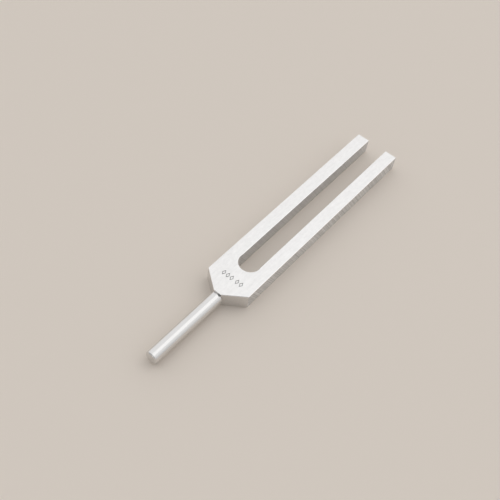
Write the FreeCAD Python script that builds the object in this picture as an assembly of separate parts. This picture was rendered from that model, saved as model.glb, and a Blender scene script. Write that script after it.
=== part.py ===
import FreeCAD, Part
import math
import os

# A tuning fork milled from flat aluminium bar, with a turned handle rod screwed into its nose.
# Millimetres. The fork lies flat: +Z is up through its thickness, the tines point towards +Y, and the
# origin is under the middle of the whole fork, on the plane that it lies on.

V = FreeCAD.Vector

# ---- driving dimensions of the milled fork ----
FORK_WIDTH = 24.0            # across both tines
THICKNESS = 8.4              # of the bar
TINE_LENGTH = 121.0          # shoulder corners to tine tips
SLOT_WIDTH = 10.7            # between the tines
SLOT_BORE_DIAMETER = 11.0    # the drilled round end of the slot, a touch wider than the milled slot
YOKE_LENGTH = 10.0           # shoulder corners to the bottom of the slot
SHOULDER_ANGLE = 52.5        # degrees between a shoulder face and the fork's long axis
NOSE_WIDTH = 4.2             # flat between the two shoulder faces, which the stem tightens against
EDGE_RADIUS = 0.3            # small rounding left by deburring every outside edge

# ---- driving dimensions of the stem and its screwed joint ----
STEM_DIAMETER = 6.5
STEM_LENGTH = 43.0           # nose to free end
STEM_END_CHAMFER = 0.4
STEM_ROOT_CHAMFER = 0.1
THREAD_DIAMETER = 3.0        # M3; threads are drawn as plain cylinders
THREAD_CLEARANCE = 0.02      # radial, between the spigot and its tapped hole
SPIGOT_LENGTH = 9.0
SPIGOT_LEAD = 0.5            # chamfer at the spigot's tip
RELIEF_DIAMETER = 2.3        # undercut where the thread meets the stem's shoulder
RELIEF_LENGTH = 1.2
TAPPED_DEPTH = 10.0
TAP_DRILL_DIAMETER = 2.5
TAP_DRILL_DEPTH = 11.5       # to the start of the drill point
DRILL_POINT_ANGLE = 118.0
COUNTERSINK_DIAMETER = 3.4

# ---- driving dimensions of the generic pitch mark ----
MARK_HEIGHT = 3.1            # of one lozenge, along the fork
MARK_WIDTH = 1.8
MARK_LINE = 0.35             # width of the engraved line
MARK_DEPTH = 0.2
MARK_PITCH = 2.3
MARK_GROUPS = (3, 2)         # lozenges in each group
MARK_GROUP_GAP = 0.9         # extra space between the groups
MARK_ABOVE_SHOULDER = 2.9    # shoulder line to the middle of the mark

# ---- places worked out from the dimensions ----
NOSE_LENGTH = (FORK_WIDTH - NOSE_WIDTH) / 2 / math.tan(math.radians(SHOULDER_ANGLE))
OVERALL_LENGTH = STEM_LENGTH + NOSE_LENGTH + TINE_LENGTH
STEM_END_Y = -OVERALL_LENGTH / 2
NOSE_Y = STEM_END_Y + STEM_LENGTH
SHOULDER_Y = NOSE_Y + NOSE_LENGTH
TIP_Y = SHOULDER_Y + TINE_LENGTH
SLOT_BORE_Y = SHOULDER_Y + YOKE_LENGTH + SLOT_BORE_DIAMETER / 2
MID_Z = THICKNESS / 2


def prism(points, z, height):
    """A solid with the given closed outline, from z upwards."""
    wire = Part.makePolygon([V(x, y, z) for x, y in points] + [V(*points[0], z)])
    return Part.Face(wire).extrude(V(0, 0, height))


def turned(profile, start_y):
    """A solid turned about the fork's axis from (radius, distance along +Y) points."""
    wire = Part.makePolygon([V(r, start_y + d, MID_Z) for r, d in profile + profile[:1]])
    return Part.Face(wire).revolve(V(0, 0, MID_Z), V(0, 1, 0), 360)


def bar_outline():
    """The milled bar before its slot: two long sides, square tips, sloping shoulders and the nose."""
    half = FORK_WIDTH / 2
    nose = NOSE_WIDTH / 2
    right = [(nose, NOSE_Y), (half, SHOULDER_Y), (half, TIP_Y)]
    left = [(-x, y) for x, y in reversed(right)]
    return right + left


def slot():
    """The gap between the tines: a drilled round end and a milled slot that is open at the tips."""
    overrun = 1.0
    half = SLOT_WIDTH / 2
    tall = THICKNESS + 2 * overrun
    milled = prism(
        [(half, SLOT_BORE_Y), (half, TIP_Y + overrun), (-half, TIP_Y + overrun), (-half, SLOT_BORE_Y)],
        -overrun, tall,
    )
    bore = Part.makeCylinder(SLOT_BORE_DIAMETER / 2, tall, V(0, SLOT_BORE_Y, -overrun))
    return milled.fuse(bore).removeSplitter()


def deburred(solid):
    """Every outline edge and every square outside corner gets the same small rounding."""
    outline = []
    for edge in solid.Edges:
        low = edge.BoundBox.ZMin
        high = edge.BoundBox.ZMax
        flat = high - low < 1e-6
        corner = not flat and abs(edge.BoundBox.XMax) >= NOSE_WIDTH / 2 and on_outside(edge)
        if flat or corner:
            outline.append(edge)
    return solid.makeFillet(EDGE_RADIUS, outline)


def on_outside(edge):
    """True for an upright edge at a tip, a shoulder or the nose, and false inside the slot."""
    y = edge.BoundBox.YMin
    return min(abs(y - place) for place in (NOSE_Y, SHOULDER_Y, TIP_Y)) < 1e-6


def tapped_hole():
    """The blind tapped hole in the nose, with its countersink and drill point."""
    thread = THREAD_DIAMETER / 2 + THREAD_CLEARANCE
    drill = TAP_DRILL_DIAMETER / 2
    sink = COUNTERSINK_DIAMETER / 2
    point = drill / math.tan(math.radians(DRILL_POINT_ANGLE / 2))
    profile = [
        (0, 0), (sink, 0), (thread, sink - thread), (thread, TAPPED_DEPTH),
        (drill, TAPPED_DEPTH), (drill, TAP_DRILL_DEPTH), (0, TAP_DRILL_DEPTH + point),
    ]
    return turned(profile, NOSE_Y)


def lozenge(x, y, inset):
    """The outline of one engraved lozenge, or with an inset of the land left inside it."""
    tall = MARK_HEIGHT / 2 - inset * MARK_HEIGHT / MARK_WIDTH
    wide = MARK_WIDTH / 2 - inset
    return [(x, y - tall), (x + wide, y), (x, y + tall), (x - wide, y)]


def pitch_mark():
    """A row of engraved lozenge outlines across the yoke, in groups, standing in for a pitch mark."""
    y = SHOULDER_Y + MARK_ABOVE_SHOULDER
    places = []
    x = 0.0
    for count in MARK_GROUPS:
        for _ in range(count):
            places.append(x)
            x += MARK_PITCH
        x += MARK_GROUP_GAP
    middle = (places[0] + places[-1]) / 2
    floor = THICKNESS - MARK_DEPTH
    grooves = []
    for place in places:
        outer = prism(lozenge(place - middle, y, 0), floor, 2 * MARK_DEPTH)
        inner = prism(lozenge(place - middle, y, MARK_LINE), floor, 2 * MARK_DEPTH)
        grooves.append(outer.cut(inner))
    return Part.makeCompound(grooves)


def fork_body():
    """Two tines and the yoke in one piece of bar."""
    blank = prism(bar_outline(), 0, THICKNESS).cut(slot())
    return deburred(blank).cut(tapped_hole()).cut(pitch_mark())


def stem():
    """The handle rod, with the threaded spigot that holds it in the fork."""
    rod = STEM_DIAMETER / 2
    end = rod - STEM_END_CHAMFER
    root = rod - STEM_ROOT_CHAMFER
    relief = RELIEF_DIAMETER / 2
    thread = THREAD_DIAMETER / 2
    run_out = thread - relief
    tip = STEM_LENGTH + SPIGOT_LENGTH
    profile = [
        (0, 0), (end, 0), (rod, STEM_END_CHAMFER), (rod, STEM_LENGTH - STEM_ROOT_CHAMFER),
        (root, STEM_LENGTH), (relief, STEM_LENGTH), (relief, STEM_LENGTH + RELIEF_LENGTH - run_out),
        (thread, STEM_LENGTH + RELIEF_LENGTH), (thread, tip - SPIGOT_LEAD),
        (thread - SPIGOT_LEAD, tip), (0, tip),
    ]
    return turned(profile, STEM_END_Y)


def build():
    os.makedirs("parts", exist_ok=True)
    nodes = {"fork_body": fork_body(), "stem": stem()}
    for name, shape in nodes.items():
        solid = shape.Solids[0]
        solid.exportStep(f"parts/{name}.step")
        print(f"{name}: {len(shape.Solids)} solid, {solid.Volume:.1f} mm3, valid {solid.isValid()}")


build()
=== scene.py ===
import math

import bpy
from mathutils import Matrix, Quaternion, Vector


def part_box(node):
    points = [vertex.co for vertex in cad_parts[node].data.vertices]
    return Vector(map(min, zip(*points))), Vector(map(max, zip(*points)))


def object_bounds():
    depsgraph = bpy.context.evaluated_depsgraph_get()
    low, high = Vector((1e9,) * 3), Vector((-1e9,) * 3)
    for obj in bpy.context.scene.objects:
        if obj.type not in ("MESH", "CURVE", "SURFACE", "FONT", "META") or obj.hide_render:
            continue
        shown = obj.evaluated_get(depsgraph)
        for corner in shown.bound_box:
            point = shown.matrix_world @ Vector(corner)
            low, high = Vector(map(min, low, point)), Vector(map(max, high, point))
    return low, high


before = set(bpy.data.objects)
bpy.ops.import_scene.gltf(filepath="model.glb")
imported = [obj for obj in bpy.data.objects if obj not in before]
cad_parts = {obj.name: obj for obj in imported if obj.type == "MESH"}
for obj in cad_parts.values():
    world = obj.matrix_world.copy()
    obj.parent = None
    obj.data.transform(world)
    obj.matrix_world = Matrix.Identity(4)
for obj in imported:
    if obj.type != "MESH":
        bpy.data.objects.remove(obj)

CAD_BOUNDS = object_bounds()
BODY_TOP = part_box("fork_body")[1].z

# Lengths are in metres. A range is (least, most), and an edge is (where it lies, how soft it is).

# ---- camera, angles in degrees ----
CAMERA_AZIMUTH = 31.70
CAMERA_ELEVATION = 52.22
CAMERA_ROLL = 9.84
CAMERA_DISTANCE = 0.4114
CAMERA_LENS = 62.7                      # mm on a 36 mm sensor
CAMERA_CLIP = (0.01, 20.0)
AIM_FROM_CENTRE = Vector((-0.0063, -0.0114, 0.0))

# ---- floor ----
FLOOR_SIZE = 12.0
FLOOR_COLOUR = (0.84, 0.76, 0.68)
FLOOR_ROUGHNESS = 0.9

# ---- light tent: its sides are given as directions from the fork, and their edges as cosines ----
TENT_BRIGHT = 0.92
TENT_DIM = 0.48
TENT_BRIGHT_SIDE = (-0.25, 0.70, 0.67)
TENT_BRIGHT_EDGE = (0.20, 0.35)
TENT_OPENING = (0.25, -0.47, 0.845)
TENT_OPENING_EDGE = (0.914, 0.04)
TENT_OPENING_GLOW = 0.03

# ---- lamps: name, centre, width, depth, radiance ----
SOFTBOXES = (
    ("overhead_softbox", (0.20, 0.57, 1.04), 0.90, 0.80, 0.28),
    ("front_card", (0.20, -1.06, 0.52), 0.40, 0.25, 0.90),
)

# ---- engraved mark, in the fork's frame ----
MARK_Y = -0.0323
MARK_HALF_WIDTH = 0.0070
MARK_HALF_HEIGHT = 0.0018
MARK_DEPTH_RANGE = (0.00003, 0.0003)
MARK_GREY = 0.35

# ---- kinds of face on the milled fork, told by the size of one part of the face's normal ----
FLAT_FACE = (0.985, 0.01)               # Z part, for the top and the underside
ROUNDED_EDGE = (0.12, 0.08)             # Z part, up to a flat face
SIDE_FACE = (0.95, 0.02)                # X part, for the outer sides and the slot's
OUTER_SIDE = (0.0115, 0.0003)           # here it is the distance from the fork's middle

# ---- finish: noise cells per metre along X, Y and Z, then what the noise does ----
ALUMINIUM_TINT = (1.0, 0.988, 0.978)

GRAIN_CELLS = (1300.0, 130.0, 400.0)    # along the top and the underside
GRAIN_BRIGHTNESS = (0.84, 0.98)
GRAIN_ROUGHNESS = (0.34, 0.46)

MOTTLE_CELLS = (750.0, 480.0, 750.0)    # uneven sheen
MOTTLE_ON_FLAT = (-0.09, 0.09)          # added to the grain's brightness

CUTTER_CELLS = (300.0, 3400.0, 45.0)    # strokes across the milled sides
CUTTER_LEAN = 0.7                       # shift along Y per unit of height
CUTTER_EDGE = (0.5, 0.16)
CUTTER_IN_SLOT = 0.45                   # how strong they are there
# painted shade: the milled sides get a darker base colour than the flat faces, standing in for their
# shading; the cutter strokes vary it
CUTTER_STROKES_AND_PAINTED_SHADE = (0.58, 0.84)
CUTTER_ROUGHNESS = (0.56, 0.76)

PLAIN_TONE_AND_PAINTED_SHADE = (0.68, 0.82)         # shoulders, nose, tips and the slot's round end; painted shade makes them darker than the flat faces, with an uneven tone
PLAIN_ROUGHNESS = (0.12, 0.22)

# painted highlight: the rounded edges get a full white base colour so they read as bright lines
EDGE_PAINTED_HIGHLIGHT = 1.0
EDGE_ROUGHNESS = 0.20
MILLED_BUMP = (0.00002, 0.5)            # distance, strength

RING_CELLS = (60.0, 6000.0, 60.0)       # round the stem
RING_BRIGHTNESS = (0.76, 0.81)
RING_BUMP = (0.000002, 0.4)
SMEAR_CELLS = (300.0, 90.0, 300.0)      # along the stem
SMEAR_ON_RINGS = (-0.02, 0.02)
SMEAR_ROUGHNESS = (0.18, 0.26)


def new_material(name):
    """An empty node material with its Principled shader and output joined up."""
    material = bpy.data.materials.new(name)
    material.use_nodes = True
    nodes = material.node_tree.nodes
    nodes.clear()
    shader = nodes.new("ShaderNodeBsdfPrincipled")
    output = nodes.new("ShaderNodeOutputMaterial")
    material.node_tree.links.new(shader.outputs["BSDF"], output.inputs["Surface"])
    return material, shader


class Net:
    """Short calls for wiring up the nodes of one material or world."""

    def __init__(self, owner):
        self.nodes = owner.node_tree.nodes
        self.links = owner.node_tree.links

    def put(self, socket, value):
        if isinstance(value, bpy.types.NodeSocket):
            self.links.new(value, socket)
        else:
            socket.default_value = value

    def place(self, kind):
        """One kind of texture coordinate of the point being shaded."""
        return self.nodes.new("ShaderNodeTexCoord").outputs[kind]

    def math(self, operation, a, b=0.0, clamp=False):
        node = self.nodes.new("ShaderNodeMath")
        node.operation = operation
        node.use_clamp = clamp
        self.put(node.inputs[0], a)
        self.put(node.inputs[1], b)
        return node.outputs[0]

    def axes(self, vector):
        node = self.nodes.new("ShaderNodeSeparateXYZ")
        self.put(node.inputs[0], vector)
        return node.outputs

    def along(self, vector, direction):
        """How far the vector points in the given direction."""
        node = self.nodes.new("ShaderNodeVectorMath")
        node.operation = "DOT_PRODUCT"
        self.put(node.inputs[0], vector)
        node.inputs[1].default_value = direction
        return node.outputs["Value"]

    def skewed(self, vector, lean):
        """The same place slid along Y in step with its height, so upright lines lean."""
        at = self.axes(vector)
        node = self.nodes.new("ShaderNodeCombineXYZ")
        self.put(node.inputs[0], at["X"])
        self.put(node.inputs[1], self.math("ADD", at["Y"], self.math("MULTIPLY", at["Z"], lean)))
        self.put(node.inputs[2], at["Z"])
        return node.outputs[0]

    def noise(self, vector, cells, detail, roughness):
        """Noise of 0..1 with the given number of cells per metre along each axis."""
        scaled = self.nodes.new("ShaderNodeMapping")
        self.put(scaled.inputs["Vector"], vector)
        scaled.inputs["Scale"].default_value = cells
        node = self.nodes.new("ShaderNodeTexNoise")
        self.put(node.inputs["Vector"], scaled.outputs[0])
        node.inputs["Scale"].default_value = 1.0
        node.inputs["Detail"].default_value = detail
        node.inputs["Roughness"].default_value = roughness
        return node.outputs["Fac"]

    def spread(self, value, low, high):
        """Maps 0..1 onto low..high."""
        node = self.nodes.new("ShaderNodeMapRange")
        self.put(node.inputs["Value"], value)
        node.inputs["To Min"].default_value = low
        node.inputs["To Max"].default_value = high
        return node.outputs[0]

    def where(self, value, edge, softness):
        """1 where value is over edge, 0 where it is under."""
        node = self.nodes.new("ShaderNodeMapRange")
        self.put(node.inputs["Value"], value)
        node.inputs["From Min"].default_value = edge - softness
        node.inputs["From Max"].default_value = edge + softness
        return node.outputs[0]

    def mix(self, share, a, b):
        node = self.nodes.new("ShaderNodeMix")
        node.data_type = "FLOAT"
        self.put(node.inputs["Factor"], share)
        self.put(node.inputs[2], a)
        self.put(node.inputs[3], b)
        return node.outputs[0]

    def bump(self, height, distance, strength):
        node = self.nodes.new("ShaderNodeBump")
        node.inputs["Strength"].default_value = strength
        node.inputs["Distance"].default_value = distance
        self.put(node.inputs["Height"], height)
        return node.outputs[0]

    def grey(self, value, tint):
        """A colour of the given tint whose brightness follows value."""
        node = self.nodes.new("ShaderNodeCombineColor")
        for socket, share in zip(node.inputs, tint):
            self.put(socket, self.math("MULTIPLY", value, share))
        return node.outputs[0]


def milled_aluminium():
    """Satin flat faces with a fine lengthwise grain, milled sides with slanting cutter strokes, plainer
    shoulders, nose and tips, and deburred edges. The sides, shoulders, nose and tips carry painted
    shade that makes them darker than the flat faces, and the edges carry a painted highlight. The
    engraved mark is dark."""
    material, shader = new_material("milled_aluminium")
    net = Net(material)
    spot = net.place("Object")
    facing = net.axes(net.place("Normal"))
    level = net.math("ABSOLUTE", facing["Z"])
    flat = net.where(level, *FLAT_FACE)
    edge = net.math("SUBTRACT", net.where(level, *ROUNDED_EDGE), flat, clamp=True)
    side = net.where(net.math("ABSOLUTE", facing["X"]), *SIDE_FACE)
    outer = net.where(net.math("ABSOLUTE", net.axes(spot)["X"]), *OUTER_SIDE)

    grain = net.noise(spot, GRAIN_CELLS, detail=4.0, roughness=0.65)
    mottle = net.noise(spot, MOTTLE_CELLS, detail=3.0, roughness=0.65)
    cutter = net.noise(net.skewed(spot, CUTTER_LEAN), CUTTER_CELLS, detail=1.0, roughness=0.5)
    strength = net.mix(outer, CUTTER_IN_SLOT, 1.0)
    strokes = net.mix(strength, 0.5, net.where(cutter, *CUTTER_EDGE))

    rough = net.mix(side, net.spread(cutter, *PLAIN_ROUGHNESS), net.spread(strokes, *CUTTER_ROUGHNESS))
    rough = net.mix(flat, rough, net.spread(grain, *GRAIN_ROUGHNESS))
    rough = net.mix(edge, rough, EDGE_ROUGHNESS)

    # painted shade: shoulders, nose, tips and the slot's round end are darker than the flat faces
    bright = net.mix(flat, net.spread(mottle, *PLAIN_TONE_AND_PAINTED_SHADE), net.spread(grain, *GRAIN_BRIGHTNESS))
    # painted shade on the milled sides, with the cutter strokes in it
    bright = net.mix(side, bright, net.spread(strokes, *CUTTER_STROKES_AND_PAINTED_SHADE))
    bright = net.math("ADD", bright, net.mix(flat, 0.0, net.spread(mottle, *MOTTLE_ON_FLAT)))
    # painted highlight along the rounded edges
    bright = net.mix(edge, bright, EDGE_PAINTED_HIGHLIGHT)
    bright = net.math("MINIMUM", bright, 1.0)
    bright = net.mix(engraved(net, spot), bright, MARK_GREY)

    height = net.mix(flat, net.mix(side, 0.5, strokes), grain)
    net.put(shader.inputs["Base Color"], net.grey(bright, ALUMINIUM_TINT))
    net.put(shader.inputs["Roughness"], rough)
    net.put(shader.inputs["Normal"], net.bump(height, *MILLED_BUMP))
    shader.inputs["Metallic"].default_value = 1.0
    return material


def engraved(net, spot):
    """1 inside the engraved grooves on top of the yoke, 0 elsewhere."""
    at = net.axes(spot)
    least, most = MARK_DEPTH_RANGE
    below = net.math("LESS_THAN", at["Z"], BODY_TOP - least)
    above = net.math("GREATER_THAN", at["Z"], BODY_TOP - most)
    beside = net.math("LESS_THAN", net.math("ABSOLUTE", at["X"]), MARK_HALF_WIDTH)
    off = net.math("ABSOLUTE", net.math("SUBTRACT", at["Y"], MARK_Y))
    along = net.math("LESS_THAN", off, MARK_HALF_HEIGHT)
    return net.math("MULTIPLY", net.math("MULTIPLY", below, above), net.math("MULTIPLY", beside, along))


def turned_aluminium():
    """A semi-bright lathe finish: very fine rings round the rod, and soft smears along it."""
    material, shader = new_material("turned_aluminium")
    net = Net(material)
    spot = net.place("Object")
    rings = net.noise(spot, RING_CELLS, detail=2.0, roughness=0.6)
    smears = net.noise(spot, SMEAR_CELLS, detail=3.0, roughness=0.5)
    bright = net.math("ADD", net.spread(rings, *RING_BRIGHTNESS), net.spread(smears, *SMEAR_ON_RINGS))
    net.put(shader.inputs["Base Color"], net.grey(bright, ALUMINIUM_TINT))
    net.put(shader.inputs["Roughness"], net.spread(smears, *SMEAR_ROUGHNESS))
    net.put(shader.inputs["Normal"], net.bump(rings, *RING_BUMP))
    shader.inputs["Metallic"].default_value = 1.0
    return material


def floor():
    """A wide plain sheet that the fork lies on."""
    bpy.ops.mesh.primitive_plane_add(size=FLOOR_SIZE)
    sheet = bpy.context.object
    sheet.name = "floor"
    material, shader = new_material("floor_paper")
    shader.inputs["Base Color"].default_value = (*FLOOR_COLOUR, 1.0)
    shader.inputs["Roughness"].default_value = FLOOR_ROUGHNESS
    sheet.data.materials.append(material)


def softbox(name, centre, width, depth, radiance):
    """A rectangular diffused lamp that faces the origin and looks as bright as its radiance says."""
    data = bpy.data.lights.new(name, "AREA")
    data.shape = "RECTANGLE"
    data.size = width
    data.size_y = depth
    data.energy = radiance * math.pi * width * depth
    lamp = bpy.data.objects.new(name, data)
    lamp.location = centre
    lamp.rotation_mode = "QUATERNION"
    lamp.rotation_quaternion = (-Vector(centre)).to_track_quat("-Z", "Y")
    bpy.context.scene.collection.objects.link(lamp)


def studio():
    """A white light tent, brighter behind the tines, with a dim opening above the stem's side, and
    the lamps inside it."""
    world = bpy.data.worlds.new("light_tent")
    world.use_nodes = True
    net = Net(world)
    direction = net.place("Generated")
    lit = net.where(net.along(direction, TENT_BRIGHT_SIDE), *TENT_BRIGHT_EDGE)
    opening = net.where(net.along(direction, TENT_OPENING), *TENT_OPENING_EDGE)
    glow = net.mix(opening, net.mix(lit, TENT_DIM, TENT_BRIGHT), TENT_OPENING_GLOW)
    background = world.node_tree.nodes["Background"]
    background.inputs["Color"].default_value = (1.0, 1.0, 1.0, 1.0)
    net.put(background.inputs["Strength"], glow)
    bpy.context.scene.world = world
    for box in SOFTBOXES:
        softbox(*box)


def camera():
    """The photo's point of view, with its lens and roll."""
    azimuth = math.radians(CAMERA_AZIMUTH)
    elevation = math.radians(CAMERA_ELEVATION)
    back = Vector((
        math.sin(azimuth) * math.cos(elevation),
        -math.cos(azimuth) * math.cos(elevation),
        math.sin(elevation),
    ))
    aim = (CAD_BOUNDS[0] + CAD_BOUNDS[1]) / 2 + AIM_FROM_CENTRE
    data = bpy.data.cameras.new("camera")
    data.lens = CAMERA_LENS
    data.clip_start, data.clip_end = CAMERA_CLIP
    eye = bpy.data.objects.new("camera", data)
    eye.location = aim + back * CAMERA_DISTANCE
    eye.rotation_mode = "QUATERNION"
    roll = Quaternion((0.0, 0.0, 1.0), math.radians(CAMERA_ROLL))
    eye.rotation_quaternion = (-back).to_track_quat("-Z", "Y") @ roll
    bpy.context.scene.collection.objects.link(eye)
    bpy.context.scene.camera = eye


def dress(node, material):
    """Gives a CAD node its finished material."""
    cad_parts[node].material_slots[0].material = material


dress("fork_body", milled_aluminium())
dress("stem", turned_aluminium())
floor()
studio()
camera()
bpy.context.scene.view_settings.view_transform = "Standard"
